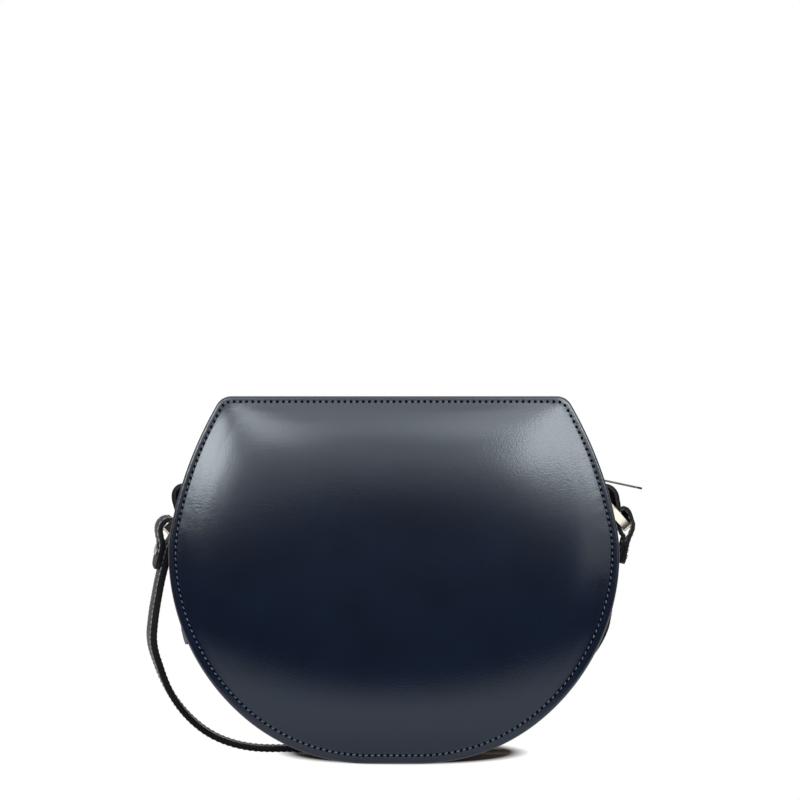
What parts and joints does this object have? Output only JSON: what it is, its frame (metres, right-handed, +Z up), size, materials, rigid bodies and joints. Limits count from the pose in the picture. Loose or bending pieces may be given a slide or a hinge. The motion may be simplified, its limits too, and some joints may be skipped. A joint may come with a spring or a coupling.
{
  "type": "half moon shoulder bag",
  "caption": "Small half moon leather shoulder bag: stitched panels, side gusset, zipped top, metal ring on each side and a buckled strap standing behind it.",
  "frame": {"origin": "on the ground under the middle of the whole object's footprint, strap included", "axes": "+X to the right as seen from the front, along the bag's width, +Y towards the back and the strap, +Z up"},
  "size_m": [0.2223, 0.1014, 0.163],
  "materials": {
    "panel_leather": "smooth glazed calf leather with a soft sheen",
    "gusset_leather": "smooth leather, semi-matt",
    "strap_leather": "smooth leather with painted edges",
    "board": "pressed fibre stiffener",
    "lining_cloth": "fine woven lining",
    "zip_tape": "woven tape",
    "zip_metal": "polished plate",
    "fittings": "polished plate"
  },
  "bodies": {
    "bag": {"back_board": "board", "back_lining": "lining_cloth", "back_panel": "panel_leather", "back_zip_facing": "gusset_leather", "back_zip_stop": "zip_metal", "back_zip_tape": "zip_tape", "back_zip_teeth": "zip_metal", "buckle_frame": "fittings", "fixed_keeper": "strap_leather", "front_board": "board", "front_lining": "lining_cloth", "front_panel": "panel_leather", "front_zip_facing": "gusset_leather", "front_zip_stop": "zip_metal", "front_zip_tape": "zip_tape", "front_zip_teeth": "zip_metal", "gusset": "gusset_leather", "gusset_board": "board", "gusset_lining": "lining_cloth", "inner_pocket": "lining_cloth", "left_side_loop": "strap_leather", "right_side_loop": "strap_leather", "sliding_keeper": "strap_leather", "strap_long": "strap_leather", "strap_short": "strap_leather", "zip_end_stop": "zip_metal"},
    "zip_slider": {"zip_slider": "fittings"},
    "zip_puller": {"zip_puller": "fittings"},
    "left_ring": {"left_ring": "fittings", "left_rivet": "fittings"},
    "right_ring": {"right_ring": "fittings", "right_rivet": "fittings"},
    "buckle_prong": {"buckle_prong": "fittings"}
  },
  "joints": [
    {"name": "zip_travel", "type": "hinge", "parent": "bag", "child": "zip_slider", "pos_m": [-0.07439, -0.0142, 0.07115], "axis": [0, -1, 0], "range_deg": [0, 4.28], "deforming": ["front_zip_teeth", "back_zip_teeth", "front_zip_tape", "back_zip_tape"]},
    {"name": "puller_swing", "type": "hinge", "parent": "zip_slider", "child": "zip_puller", "pos_m": [0.08706, -0.0142, 0.1267], "axis": [0, -1, 0], "range_deg": [0, 95]},
    {"name": "left_ring_swing", "type": "hinge", "parent": "bag", "child": "left_ring", "pos_m": [-0.0926, -0.0142, 0.11133], "axis": [0, 1, 0], "range_deg": [-8, 55], "deforming": ["strap_long"]},
    {"name": "right_ring_swing", "type": "hinge", "parent": "bag", "child": "right_ring", "pos_m": [0.0962, -0.0142, 0.11377], "axis": [0, -1, 0], "range_deg": [-8, 50], "deforming": ["strap_short"]},
    {"name": "prong_lift", "type": "hinge", "parent": "bag", "child": "buckle_prong", "pos_m": [-0.022, 0.03943, 0.12088], "axis": [0, -1, 0], "range_deg": [0, 75], "deforming": ["strap_long"]}
  ]
}
